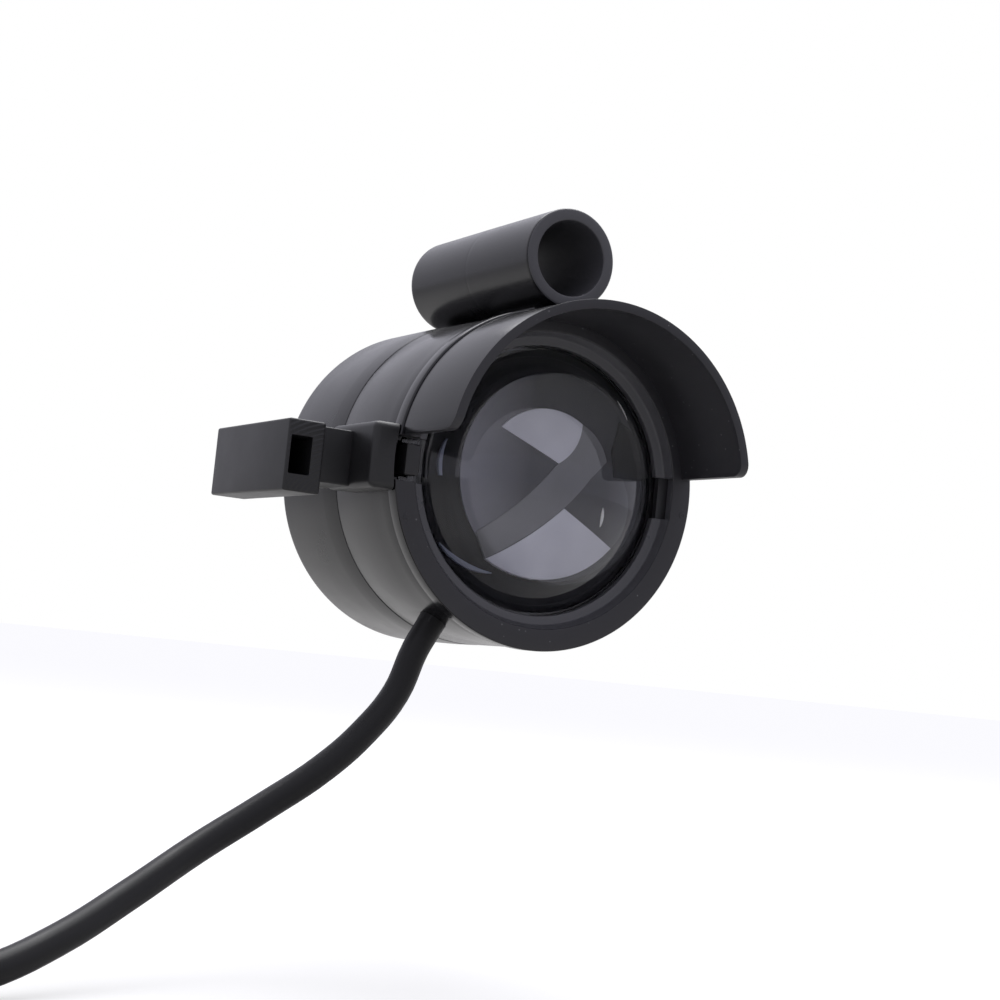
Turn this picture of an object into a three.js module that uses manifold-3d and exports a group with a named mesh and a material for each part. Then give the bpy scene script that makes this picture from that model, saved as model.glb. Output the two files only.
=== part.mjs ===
// Underwater pond light: a small spotlight that hangs from a fountain riser pipe.
// Millimetres, +Z up, the lamp shines along -Y. The origin is the middle of the riser
// tube's bore. Everything is laid out in the lamp's own axes (lamp axis on y, bezel face
// at y = 0) inside one group, which is then set down by the origin's offset.
import * as THREE from 'three';
import { mergeVertices } from 'three/addons/utils/BufferGeometryUtils.js';
import Module from 'manifold-3d';

const wasm = await Module();
wasm.setup();

// ---- driving dimensions, mm ----
const GAP = 0.3;                 // clearance between parts that touch
const SIDES = 48;                // facets of the large round parts

// Bezel, hood and the notches in the bezel at 9 and 3 o'clock
const BEZEL = {
  radius: 36, face: 31.4, slope: 31, lip: 28.6, depth: 3.6, lipFront: 2.6, lipBack: 3.9,
};
const HOOD = { radius: 35.6, wall: 1.9, length: 22, lowEdge: 4.6, corner: 3, root: 1 };
const NOTCH = { left: 4.6, right: 4.5, edge: 31.2, skin: 0.9 };

// Housing: a front barrel that plugs into a rear cup
const BARREL = {
  radius: 35.6, neck: 35.2, front: 3.9, neckEnd: 9.5, seam: 28.9, inside: 32.6,
  spigotEnd: 36, spigotInside: 30.9,
};
const SEAT = { inside: 28.8, front: 8.3, back: 9.8 };    // ledge behind the lens
const GROOVE = { radius: 31.7, from: 31, to: 33.2 };     // for the seam's o-ring
const CUP = { radius: 36, inside: 33.5, back: 60, wall: 2.6, corner: 3 };
const LENS = { radius: 33.2, dome: 28, flangeFront: 4.2, flange: 2, rise: 12 };

// Riser tube on its saddle, and the side bracket's three blocks and socket
const TUBE = { length: 55, radius: 10.9, endRadius: 10.7, bore: 8.1, axisHeight: 47.5 };
const SADDLE = { halfWidth: 3.2, from: 8, to: 27, low: 34, high: 39.2 };
const BRACKET = {
  inner: { x: [-41.2, -33], y: [0, 22], z: [-6.8, 6.8] },
  web: { x: [-50, -41], y: [10.7, 26], z: [-6.4, 5] },
  outer: { x: [-57.2, -49.2], y: [6, 46], z: [-9.4, 5.2] },
  socket: { x: [-56.5, -51.9], y: [5, 36], z: [-5.9, 1.9] },
};

// Snap fingers that hold the lens. The right one ends in a wide flat face that fills its notch.
const LATCH = { outer: 33.2, arm: 1.8, nose: 29.9, halfHeight: 3.2, front: 1.2, root: 16 };
const WIDE_FACE = { nose: 28.9, outer: 31.5, hook: 30.9, front: 2.3, halfHeight: 4.2 };

// Light source and driver
const REFLECTOR = { mouth: 15.6, throat: 33.6, throatRadius: 7, spread: 14, thick: 0.8 };
const EMITTER = { front: 34.6, radius: 4.6, back: 36 };
const BOARD = { radius: 12, front: 36.3, thick: 1.6 };
const PLATE = { front: 38.2, thick: 3, radius: 30.2, fins: 7, finPitch: 5, finHeight: 8 };
const SCREW = { circle: 24.5, head: 2.8, shank: 1.5, hole: 1.8 };
const DRIVER = { front: 52, thick: 1.6 };

// Cable, its outlet low on the left, the slack coil on the floor and the plug
const CABLE = { radius: 3, sides: 10 };
const EXIT_ANGLE = THREE.MathUtils.degToRad(27.6);   // from straight down, towards -X
const EXIT_Y = 14.5;
const FLOOR = -105.5;            // surface the slack cable lies on
const COIL = { x: -152, y: 23, mean: 33, columns: 4, rows: 6, lift: 1.5, bevel: 2 };
const TIE = { halfWidth: 2, thick: 1 };
const PLUG = {
  start: COIL.y + 30, boot: 20, bootRadius: 6.2, body: 32, bodyRadius: 7.5, waist: 6.6,
  nose: 5.4, collar: 9, collarInside: 7.4,
};
const PIN = { radius: 0.8, length: 4.5, offset: 2 };

// ---- finishes ----
const finish = (color, roughness, metalness = 0) => ({ color, roughness, metalness });
const BLACK_PLASTIC = finish(0x1b1b1e, 0.38);
const LATCH_PLASTIC = finish(0x2a2a2e, 0.5);
const CLEAR = finish(0xdfe6ea, 0.05);
const RUBBER = finish(0x111113, 0.7);
const SILICONE = finish(0x1a1a1c, 0.6);
const ALUMINIUM = finish(0xa9adb2, 0.4, 1);
const MIRROR = finish(0xc8ccd2, 0.12, 1);
const BOARD_WHITE = finish(0xe6e6e2, 0.5);
const BOARD_GREEN = finish(0x1f5a35, 0.5);
const PHOSPHOR = finish(0xe8c83a, 0.6);
const STEEL = finish(0x9a9da1, 0.35, 1);
const BRASS = finish(0xc9a24a, 0.3, 1);
const RED = finish(0xa01c1c, 0.5);
const BLUE = finish(0x1f3f9a, 0.5);
const BROWN = finish(0x5a3418, 0.5);

const origin = new THREE.Vector3(0, TUBE.length / 2, TUBE.axisHeight);
const lamp = new THREE.Group();
lamp.position.copy(origin).negate();

const BACK = new THREE.Vector3(0, 1, 0);
const DOWN_LEFT = new THREE.Vector3(-Math.sin(EXIT_ANGLE), 0, -Math.cos(EXIT_ANGLE));
const outward = (distance) => DOWN_LEFT.clone().multiplyScalar(distance).setY(EXIT_Y);

// ---- solids: three.js geometry in, manifold for cutting and joining ----
function solid(geometry) {
  const bare = geometry.index ? geometry.toNonIndexed() : geometry.clone();
  bare.deleteAttribute('normal');
  bare.deleteAttribute('uv');
  const merged = mergeVertices(bare, 1e-4);
  const vertProperties = new Float32Array(merged.attributes.position.array);
  const triVerts = new Uint32Array(merged.index.array);
  const at = (i) => new THREE.Vector3().fromArray(vertProperties, 3 * i);
  let volume = 0;
  for (let t = 0; t < triVerts.length; t += 3) {
    const [a, b, c] = [at(triVerts[t]), at(triVerts[t + 1]), at(triVerts[t + 2])];
    volume += a.dot(b.cross(c)) / 6;
  }
  if (volume < 0) triVerts.reverse();
  return new wasm.Manifold(new wasm.Mesh({ numProp: 3, vertProperties, triVerts }));
}

function add(name, body, look) {
  const mesh = body.getMesh();
  const geometry = new THREE.BufferGeometry();
  geometry.setAttribute('position', new THREE.BufferAttribute(mesh.vertProperties, 3));
  geometry.setIndex(new THREE.BufferAttribute(mesh.triVerts, 1));
  geometry.computeVertexNormals();
  const part = new THREE.Mesh(geometry, new THREE.MeshStandardMaterial(look));
  part.name = name;
  lamp.add(part);
}

// A profile of [radius, y] turned about y. One that leaves the axis is closed on itself.
function lathe(profile, sides) {
  const points = profile.map(([r, y]) => new THREE.Vector2(r, y));
  if (points.every((p) => p.x > 0)) points.push(points[0].clone());
  return new THREE.LatheGeometry(points, sides);
}

const turned = (profile, sides = SIDES) => solid(lathe(profile, sides));
const cylinderY = (radius, y0, y1, sides = SIDES) =>
  turned([[0, y0], [radius, y0], [radius, y1], [0, y1]], sides);

// The same, moved so that its y axis runs from a point along a direction.
function aimed(profile, from, direction, sides) {
  const geometry = lathe(profile, sides);
  geometry.applyQuaternion(new THREE.Quaternion().setFromUnitVectors(BACK, direction));
  geometry.translate(from.x, from.y, from.z);
  return solid(geometry);
}

function rod(radius, from, direction, length, sides = 16) {
  return aimed([[0, 0], [radius, 0], [radius, length], [0, length]], from, direction, sides);
}

function block(x, y, z) {
  const geometry = new THREE.BoxGeometry(x[1] - x[0], y[1] - y[0], z[1] - z[0]);
  geometry.translate((x[0] + x[1]) / 2, (y[0] + y[1]) / 2, (z[0] + z[1]) / 2);
  return solid(geometry);
}
const bar = (box) => block(box.x, box.y, box.z);
const mirrored = (side, a, b) => [side * a, side * b].sort((p, q) => p - q);

// A bar cut from a side view drawn in (y, z), between two x positions.
function sideSlab(outline, x0, x1) {
  const geometry = new THREE.ExtrudeGeometry(outline, {
    depth: x1 - x0, bevelEnabled: false, curveSegments: 6,
  });
  // shape x -> y, shape y -> z, extrusion -> x
  geometry.applyMatrix4(new THREE.Matrix4().set(0, 0, 1, x0, 1, 0, 0, 0, 0, 1, 0, 0, 0, 0, 0, 1));
  return solid(geometry);
}

// A round lead that follows hand-set points.
function lead(points, radius, steps, sides) {
  const path = new THREE.CatmullRomCurve3(points.map((p) => new THREE.Vector3(...p)));
  const section = new THREE.Shape();
  section.moveTo(radius, 0);
  for (let k = 1; k < sides; k += 1) {
    const a = (2 * Math.PI * k) / sides;
    section.lineTo(radius * Math.cos(a), radius * Math.sin(a));
  }
  section.closePath();
  return solid(new THREE.ExtrudeGeometry(section, { steps, extrudePath: path, bevelEnabled: false }));
}

// ---- housing ----
function frontBarrel() {
  const { radius, neck, front, neckEnd, seam, inside, spigotEnd, spigotInside } = BARREL;
  const spigot = CUP.inside - GAP;
  const mouth = LENS.radius + 0.4;
  const shell = turned([
    [neck, front], [neck + 0.05, neckEnd], [radius, neckEnd + 1.5], [radius, seam],
    [spigot, seam], [spigot, GROOVE.from], [GROOVE.radius, GROOVE.from],
    [GROOVE.radius, GROOVE.to], [spigot, GROOVE.to], [spigot, spigotEnd],
    [spigotInside, spigotEnd], [spigotInside, seam - 1.9], [inside, seam - 3.6],
    [inside, SEAT.back], [SEAT.inside, SEAT.back], [SEAT.inside, SEAT.front],
    [mouth, SEAT.front], [mouth, front],
  ]);
  const slotHalf = LATCH.halfHeight + 2 * GAP;
  const latchSlot = (side) =>
    block(mirrored(side, 34.6, 31), [front - 0.9, LATCH.root + 1], [-slotHalf, slotHalf]);
  const cableHole = rod(4.7, outward(30), DOWN_LEFT, 8, 24);
  return shell.subtract(latchSlot(-1)).subtract(latchSlot(1)).subtract(cableHole);
}

function rearHousing() {
  const { radius, inside, back, wall, corner } = CUP;
  const floor = back - wall;
  const inCorner = 1.2;
  const outCorner = [];
  for (let k = 0; k <= 4; k += 1) {
    const a = (Math.PI / 2) * (k / 4);
    outCorner.push([radius - corner + corner * Math.cos(a), back - corner + corner * Math.sin(a)]);
  }
  return turned([
    [0, floor], [inside - inCorner, floor], [inside, floor - inCorner],
    [inside, BARREL.seam + GAP], [radius, BARREL.seam + GAP], ...outCorner, [0, back],
  ]);
}

function oRing() {
  const radius = 0.65;
  const section = [];
  for (let k = 0; k < 6; k += 1) {
    const a = (2 * Math.PI * k) / 6;
    const y = (GROOVE.from + GROOVE.to) / 2 + radius * Math.sin(a);
    section.push([GROOVE.radius + GAP + radius * (1 + Math.cos(a)) - 0.05, y]);
  }
  return turned(section, 40);
}

add('front_barrel', frontBarrel(), BLACK_PLASTIC);
add('rear_housing', rearHousing(), BLACK_PLASTIC);
add('seam_o_ring', oRing(), SILICONE);

// ---- riser tube on its saddle, and the side bracket ----
function riserTube() {
  const { radius, endRadius, bore, length, axisHeight } = TUBE;
  const pipe = turned([
    [bore, 0], [endRadius, 0], [radius, length / 2], [endRadius, length], [bore, length],
  ], 40).translate([0, 0, axisHeight]);
  const { halfWidth, from, to, low, high } = SADDLE;
  const bridge = block([-halfWidth, halfWidth], [from, to], [low, high]);
  return pipe.add(bridge.subtract(cylinderY(BARREL.radius + GAP, 0, to + 1)));
}

function sideBracket() {
  const behindBezel = BARREL.front - GAP;
  return bar(BRACKET.inner)
    .add(bar(BRACKET.web))
    .add(bar(BRACKET.outer))
    .subtract(bar(BRACKET.socket))
    .subtract(cylinderY(BARREL.radius + GAP, behindBezel, BARREL.seam))
    .subtract(cylinderY(BEZEL.radius + GAP, -1, BARREL.front));
}

add('riser_tube', riserTube(), BLACK_PLASTIC);
add('side_bracket', sideBracket(), BLACK_PLASTIC);

// ---- bezel with its hood, one moulding ----
function hoodShell() {
  const { radius, wall, length, lowEdge, corner, root } = HOOD;
  const inside = radius - wall;
  const shell = turned([[radius, -length], [radius, root], [inside, root], [inside, -length]]);
  const view = new THREE.Shape();
  const above = radius + 5;
  view.moveTo(root + 1, lowEdge);
  view.lineTo(root + 1, above);
  view.lineTo(-length - 1, above);
  view.lineTo(-length - 1, lowEdge + corner);
  view.lineTo(-length, lowEdge + corner);
  view.absarc(-length + corner, lowEdge + corner, corner, Math.PI, 1.5 * Math.PI, false);
  view.closePath();
  return shell.intersect(sideSlab(view, -above, above));
}

function bezelHood() {
  const { radius, face, slope, lip, depth, lipFront, lipBack } = BEZEL;
  const edge = 0.3;
  const ring = turned([
    [radius, edge], [radius - edge, 0], [face + 0.2, 0], [face, 0.2], [slope, lipFront],
    [lip + edge, lipFront], [lip, lipFront + edge], [lip, lipBack], [LENS.radius, lipBack],
    [LENS.radius, depth], [radius, depth],
  ]);
  const through = [-1, 5];
  const leftGap = block([-38, -26], through, [-NOTCH.left, NOTCH.left]);
  const rightLipGap = block([26, NOTCH.edge], through, [-NOTCH.right, NOTCH.right]);
  const rightPocket = block([30.9, 35], [NOTCH.skin, 5], [-NOTCH.right, NOTCH.right]);
  return ring.add(hoodShell()).subtract(leftGap).subtract(rightLipGap).subtract(rightPocket);
}
add('bezel_hood', bezelHood(), BLACK_PLASTIC);

// ---- lens and its seal ----
function lensBody() {
  const { radius, dome, flangeFront, flange, rise } = LENS;
  const sphere = (dome * dome + rise * rise) / (2 * rise);
  const open = Math.asin(dome / sphere);
  const cap = [];
  for (let k = 0; k <= 10; k += 1) {
    const a = open * (k / 10);
    cap.push([sphere * Math.sin(a), flangeFront - rise + sphere * (1 - Math.cos(a))]);
  }
  const back = flangeFront + flange;
  const glass = turned([...cap, [radius, flangeFront], [radius, back], [0, back]]);
  const clear = LATCH.halfHeight + GAP;
  const flat = (side) => block(mirrored(side, 36, 30.9), [0, 9], [-clear, clear]);
  return glass.subtract(flat(-1)).subtract(flat(1));
}

function lensGasket() {
  const [inside, outside] = [29.2, 30.6];
  const front = LENS.flangeFront + LENS.flange + GAP;
  const back = SEAT.front - GAP;
  return turned([[inside, front], [outside, front], [outside, back], [inside, back]], 40);
}
add('lens', lensBody(), CLEAR);
add('lens_gasket', lensGasket(), SILICONE);

// ---- snap fingers that hold the lens, at 9 and 3 o'clock ----
function latch(side, nose) {
  const { outer, arm, halfHeight, front, root } = LATCH;
  const height = [-halfHeight, halfHeight];
  const hookDepth = [front, LENS.flangeFront - GAP];
  const finger = block(mirrored(side, outer, outer - arm), [front, root], height);
  return finger.add(block(mirrored(side, outer, nose), hookDepth, height));
}

function wideFace() {
  const { nose, outer, front, halfHeight } = WIDE_FACE;
  return block([nose, outer], [front, LENS.flangeFront - GAP], [-halfHeight, halfHeight]);
}
add('latch_left', latch(-1, LATCH.nose), LATCH_PLASTIC);
add('latch_right', latch(1, WIDE_FACE.hook).add(wideFace()), LATCH_PLASTIC);

// ---- light source ----
const screwAngles = [90, 210, 330].map(THREE.MathUtils.degToRad);
const tailAt = (y) => new THREE.Vector3(-12.6, y, -24.1);    // cable tail along the wall
const onCircle = (radius, a, y) => new THREE.Vector3(radius * Math.cos(a), y, radius * Math.sin(a));

function heatSink() {
  const { front, thick, radius, fins, finPitch, finHeight } = PLATE;
  const finHalf = 0.8;
  const finReach = 14;
  let plate = cylinderY(radius, front, front + thick);
  for (let k = 0; k < fins; k += 1) {
    const x = finPitch * (k - (fins - 1) / 2);
    const fin = block([x - finHalf, x + finHalf], [front + 2, front + finHeight], [-finReach, finReach]);
    plate = plate.add(fin);
  }
  for (const a of screwAngles) {
    plate = plate.subtract(rod(SCREW.hole, onCircle(SCREW.circle, a, front - 1), BACK, 6, 12));
  }
  const leadHole = rod(2.5, new THREE.Vector3(9, front - 1, -18), BACK, 6, 12);
  const tailHole = rod(CABLE.radius + 1, tailAt(front - 1), BACK, 6, 12);
  return plate.subtract(leadHole).subtract(tailHole);
}

function plateScrew(a) {
  const { head, shank, circle } = SCREW;
  const profile = [[0, -2], [head, -2], [head, -GAP], [shank, -GAP], [shank, 12], [0, 12.8]];
  return aimed(profile, onCircle(circle, a, PLATE.front), BACK, 12);
}

function reflectorDish() {
  const { mouth, throat, throatRadius, spread, thick } = REFLECTOR;
  const bowl = (t) => [throatRadius + spread * Math.sqrt(t), throat - (throat - mouth) * t];
  const profile = [];
  const steps = 6;
  for (let k = 0; k <= steps; k += 1) profile.push(bowl(k / steps));
  for (let k = steps; k >= 0; k -= 1) {
    const [r, y] = bowl(k / steps);
    profile.push([r + thick, y + (k === 0 ? thick : 0)]);
  }
  return turned(profile, 32);
}

function ledEmitter() {
  const { front, radius, back } = EMITTER;
  const dome = [[0, front], [radius - 1, front + 0.2], [radius, front + 0.8]];
  return turned([...dome, [radius, back], [0, back]], 24);
}

add('reflector', reflectorDish(), MIRROR);
add('led_board', cylinderY(BOARD.radius, BOARD.front, BOARD.front + BOARD.thick, 32), BOARD_WHITE);
add('led_emitter', ledEmitter(), PHOSPHOR);
add('heat_sink', heatSink(), ALUMINIUM);
screwAngles.forEach((a, i) => add(`heat_sink_screw_${i + 1}`, plateScrew(a), STEEL));

// ---- driver behind the plate ----
const onDriver = (x, z) => new THREE.Vector3(x, DRIVER.front - 4.5, z);
const driverBoard = block([-17, 17], [DRIVER.front, DRIVER.front + DRIVER.thick], [-12, 12]);
add('driver_board', driverBoard, BOARD_GREEN);
add('rectifier', block([-15, -8], [DRIVER.front - 3, DRIVER.front - GAP], [-3, 4]), BLACK_PLASTIC);
add('inductor', rod(4, onDriver(8, 4), BACK, 4.2, 16), RUBBER);
add('capacitor', rod(2.5, onDriver(-2, -6), BACK, 4.2, 16), STEEL);

// ---- cable: outlet, tail inside, wires ----
const wire = (points) => lead(points, 0.8, 14, 8);
const glandBore = CABLE.radius + GAP;
const glandProfile = [
  [glandBore, 31.2], [4, 31.2], [4.4, 31.8], [4.4, 35.9], [5.2, 35.9],
  [5.2, 36.6], [4.3, 37.2], [glandBore, 37.2],
];
add('cable_gland', aimed(glandProfile, new THREE.Vector3(0, EXIT_Y, 0), DOWN_LEFT, 24), RUBBER);

add('cable_tail', lead([
  outward(37).toArray(), outward(33).toArray(), outward(30).toArray(), [-12.9, 16.6, -24.8],
  ...[20, 24, 29, 34].map((y) => tailAt(y).toArray()),
], CABLE.radius, 16, CABLE.sides), RUBBER);
const stopRing = [[glandBore, 0], [4.6, 0], [4.6, 3.5], [glandBore, 3.5]];
add('cable_stop_ring', aimed(stopRing, tailAt(21), BACK, 20), BRASS);

add('supply_wire_brown', wire([
  [-13.8, 34.4, -23.4], [-13.8, 40, -23.4], [-14.5, 46, -18], [-13, 49, -11], [-11, 51.2, -8],
]), BROWN);
add('supply_wire_blue', wire([
  [-11.4, 34.4, -23.4], [-11.4, 40, -23.4], [-10, 46, -18], [-8, 49, -12], [-7.5, 51.2, -8],
]), BLUE);
add('led_wire_red', wire([
  [8, 35.4, -7], [9.5, 35, -12], [10, 35.6, -17], [10, 40, -18], [12, 46, -16], [12, 51.2, -9],
]), RED);
add('led_wire_black', wire([
  [5, 35.4, -8], [6.4, 35, -12.4], [7.9, 35.6, -17], [7.9, 40, -18], [8.6, 46, -16], [8.6, 51.2, -9],
]), RUBBER);

// ---- cable outside: out of the gland, bending left as it drops, then along the floor ----
add('cable', lead([
  outward(37.5).toArray(), outward(43).toArray(), [-23.4, EXIT_Y, -47.6], [-29.6, EXIT_Y, -56],
  [-38, EXIT_Y, -64], [-50, EXIT_Y, -72.5], [-64, 11.7, -80.8], [-80, 3.4, -89.2],
  [-96, -6.7, -96.2], [-111, -14.9, -100.8], [-120, -18, -102.3], [-128.8, -19, -102.5],
], CABLE.radius, 14, CABLE.sides), RUBBER);

// ---- the slack: one ring of the coil's outer size, with two ties round it ----
const pitch = 2 * CABLE.radius;
const coilInner = COIL.mean - (COIL.columns * pitch) / 2;
const coilOuter = COIL.mean + (COIL.columns * pitch) / 2;
const coilLow = FLOOR + COIL.lift;
const coilHigh = coilLow + COIL.rows * pitch;

function cableCoil() {
  const bevel = COIL.bevel;
  const ring = lathe([
    [coilInner + bevel, coilLow], [coilOuter - bevel, coilLow], [coilOuter, coilLow + bevel],
    [coilOuter, coilHigh - bevel], [coilOuter - bevel, coilHigh], [coilInner + bevel, coilHigh],
    [coilInner, coilHigh - bevel], [coilInner, coilLow + bevel],
  ], SIDES);
  ring.rotateX(Math.PI / 2);
  return solid(ring).translate([COIL.x, COIL.y, 0]);
}

function coilTie(degrees) {
  const { halfWidth, thick } = TIE;
  const low = coilLow - GAP;
  const high = coilHigh + GAP;
  const near = coilInner - 0.8;
  const far = coilOuter + GAP;
  const strap = block([near - thick, far + thick], [-halfWidth, halfWidth], [low - thick, high + thick]);
  const hole = block([near, far], [-halfWidth - 1, halfWidth + 1], [low, high]);
  return strap.subtract(hole).rotate([0, 0, degrees]).translate([COIL.x, COIL.y, 0]);
}
add('cable_coil', cableCoil(), RUBBER);
add('coil_tie_1', coilTie(45), RUBBER);
add('coil_tie_2', coilTie(225), RUBBER);

// ---- the coil's free end and the plug on it ----
const endX = COIL.x - (coilOuter - CABLE.radius);
const plugZ = FLOOR + PLUG.collar + 0.2;
const bodyStart = PLUG.boot + GAP;
const pinStart = PLUG.body - 6;
const plugAt = (offset) => new THREE.Vector3(endX, PLUG.start + offset, plugZ);

add('cable_end', lead([
  [endX, COIL.y + 23.3, plugZ], [endX, COIL.y + 26, plugZ], [endX, PLUG.start - GAP, plugZ],
], CABLE.radius, 3, CABLE.sides), RUBBER);

const { boot, bootRadius, body, bodyRadius, waist, nose, collar, collarInside } = PLUG;
add('plug_boot', aimed([
  [0, 0], [CABLE.radius + 0.8, 0], [bootRadius, boot], [0, boot],
], plugAt(0), BACK, 24), RUBBER);
add('plug_body', aimed([
  [0, 0], [bodyRadius, 0], [bodyRadius, 8], [waist, 8], [waist, 24], [nose, 24],
  [nose, pinStart], [0, pinStart],
], plugAt(bodyStart), BACK, 24), BLACK_PLASTIC);
add('plug_collar', aimed([
  [waist + GAP, 8.4], [collar, 8.4], [collar, 22], [collar - 0.4, 22], [collar - 0.4, body],
  [collarInside, body], [collarInside, 20], [waist + GAP, 20],
], plugAt(bodyStart), BACK, 24), BLACK_PLASTIC);
[-PIN.offset, PIN.offset].forEach((x, i) => {
  const pinBase = plugAt(bodyStart + pinStart + GAP).add(new THREE.Vector3(x, 0, 0));
  add(`plug_pin_${i + 1}`, rod(PIN.radius, pinBase, BACK, PIN.length, 12), BRASS);
});

export default lamp;
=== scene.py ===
"""Underwater pond light: looks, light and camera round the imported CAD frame.

Shapes are written in the lamp's own axes, in millimetres: the lamp axis is y, the bezel's face
is y = 0, the lamp shines along -y and z is up. place() and the mesh builders turn them into the
row frame's metres.
"""

import math

import bmesh
import bpy
from mathutils import Matrix, Vector


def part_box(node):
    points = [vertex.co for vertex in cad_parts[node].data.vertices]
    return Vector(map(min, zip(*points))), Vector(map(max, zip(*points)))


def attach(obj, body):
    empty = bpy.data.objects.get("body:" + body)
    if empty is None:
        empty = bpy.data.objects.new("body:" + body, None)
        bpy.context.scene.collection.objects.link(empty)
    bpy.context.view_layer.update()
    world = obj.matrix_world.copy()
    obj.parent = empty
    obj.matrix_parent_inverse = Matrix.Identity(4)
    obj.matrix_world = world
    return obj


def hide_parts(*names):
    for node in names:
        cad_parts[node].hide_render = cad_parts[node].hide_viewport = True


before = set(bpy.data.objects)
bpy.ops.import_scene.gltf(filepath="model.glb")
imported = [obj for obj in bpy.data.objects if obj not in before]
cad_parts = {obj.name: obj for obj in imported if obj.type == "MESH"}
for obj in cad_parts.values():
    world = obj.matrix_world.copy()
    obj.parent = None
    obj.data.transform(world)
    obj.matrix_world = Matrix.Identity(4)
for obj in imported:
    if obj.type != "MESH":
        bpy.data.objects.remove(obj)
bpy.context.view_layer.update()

MM = 0.001

# ---- driving dimensions, mm, in the lamp's axes ----
HOUSING_BACK = 60
SEAM = 28.9
BARREL_RADIUS = 35.6
BARREL_FIT = BARREL_RADIUS + 0.15  # what hugs the barrel is cut back to this radius
BARREL_BORE = 32.6
NECK_RADIUS = 35.52
SHELF_RADIUS = 28.8              # the barrel's inner shelf, behind the lens
LENS_REST = 8.3                  # depth of that shelf's front
CUP_RADIUS = 36
BEZEL_RADIUS = 36
HOOD_RADIUS = 35.6
HOOD_WALL = 1.9
HOOD_LENGTH = 22
HOOD_LOW_EDGE = 4.6              # height of the hood's straight lower edges
HOOD_CORNER = 3
NOTCH = 4.6
RIGHT_NOTCH = NOTCH - 0.1
RIGHT_NOTCH_EDGE = 31.2
EJECTOR_MARKS = [(-32.3, -11.8), (34.3, -3.2)]   # (x, z) on the bezel's face
LATCH_HALF = 3.2                 # half the width of a snap finger
POCKET = 2                       # depth at which the pocket for the right latch starts
DOME_RADIUS = 28
DOME_RISE = 12
LENS_FRONT = 4.2
LENS_BACK = 6.2
LENS_RADIUS = 33.2
BEZEL_BACK = 3.6
LIP_RADIUS = 28.6
LIP_EDGE = 31.4
TUBE_LENGTH = 55
TUBE_MID_RADIUS = 10.74
TUBE_END_RADIUS = 10.7
TUBE_BORE = 8.1
TUBE_HEIGHT = 47.5
FLOOR = -105.5
CABLE_RADIUS = 3
EXIT_Y = 14.5
EXIT_ANGLE = math.radians(27.6)

HOLE_RADIUS = CABLE_RADIUS + 0.08
GLAND_RADIUS = 4.4
GLAND_START = 30.2               # the gland's ends, as distances from the lamp's axis
GLAND_END = 32.4

COIL_X = -152
COIL_Y = 23
COIL_MEAN = 33
COIL_COLUMNS = 4
COIL_ROWS = 6
PITCH = 2 * CABLE_RADIUS
COIL_OUTER = COIL_MEAN + PITCH * (COIL_COLUMNS - 1) / 2
COIL_INNER = COIL_MEAN - PITCH * (COIL_COLUMNS - 1) / 2
PLUG_X = COIL_X - COIL_OUTER
PLUG_Y = COIL_Y + 30
PLUG_Z = FLOOR + 9.2
SHELL_START = PLUG_Y + 20.3      # where the plug's boot meets its shell

FINE = 192                       # steps round the housing and the bezel
SMALL_EDGE = 0.3                 # rounding of small block edges

housing_low, housing_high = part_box("rear_housing")
LAMP = Vector((
    (housing_low.x + housing_high.x) / 2,
    housing_high.y - HOUSING_BACK * MM,
    (housing_low.z + housing_high.z) / 2,
))


def place(x, y, z):
    """A point in the lamp's axes, in mm, as a point in the row frame."""
    return LAMP + Vector((x, y, z)) * MM


# ---- camera: the photograph's angle ----
CAMERA_PLACE = (-203.2, -347.8, -38.4)
CAMERA_YAW = math.radians(-28.89)
CAMERA_PITCH = math.radians(4.71)
CAMERA_ROLL = math.radians(5.8)
CAMERA_LENS = 69.3


def make_camera():
    """The scene's camera, yawed and pitched and then rolled about its own line of sight."""
    camera = bpy.data.objects.new("camera", bpy.data.cameras.new("camera"))
    bpy.context.scene.collection.objects.link(camera)
    forward = Vector((
        -math.sin(CAMERA_YAW) * math.cos(CAMERA_PITCH),
        math.cos(CAMERA_YAW) * math.cos(CAMERA_PITCH),
        math.sin(CAMERA_PITCH),
    ))
    level = forward.to_track_quat("-Z", "Y").to_matrix().to_4x4()
    roll = Matrix.Rotation(CAMERA_ROLL, 4, "Z")
    camera.matrix_world = Matrix.Translation(place(*CAMERA_PLACE)) @ level @ roll
    camera.data.lens = CAMERA_LENS
    camera.data.sensor_width = 36
    camera.data.clip_start = 0.01
    bpy.context.scene.camera = camera


make_camera()


# ---- node helpers ----
def new_material(name):
    """A new material, its nodes and links, and its surface shader."""
    material = bpy.data.materials.new(name)
    material.use_nodes = True
    nodes = material.node_tree.nodes
    return material, nodes, material.node_tree.links, nodes["Principled BSDF"]


def add_node(nodes, kind, **settings):
    """A node with its inputs, or else its own properties, set by name."""
    node = nodes.new(kind)
    for key, value in settings.items():
        if key in node.inputs:
            node.inputs[key].default_value = value
        else:
            setattr(node, key, value)
    return node


def noise(nodes, links, scale, detail=2.0, rough=0.5):
    """A noise texture in the row frame; scale is in features per metre."""
    where = nodes.new("ShaderNodeTexCoord")
    texture = add_node(nodes, "ShaderNodeTexNoise", Scale=scale, Detail=detail, Roughness=rough)
    links.new(where.outputs["Object"], texture.inputs["Vector"])
    return texture.outputs["Fac"]


def remap(nodes, links, value, low, high, to_low, to_high):
    """Carries the range low..high over to to_low..to_high and clamps it there."""
    node = nodes.new("ShaderNodeMapRange")
    node.inputs["From Min"].default_value = low
    node.inputs["From Max"].default_value = high
    node.inputs["To Min"].default_value = to_low
    node.inputs["To Max"].default_value = to_high
    links.new(value, node.inputs["Value"])
    return node.outputs["Result"]


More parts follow.
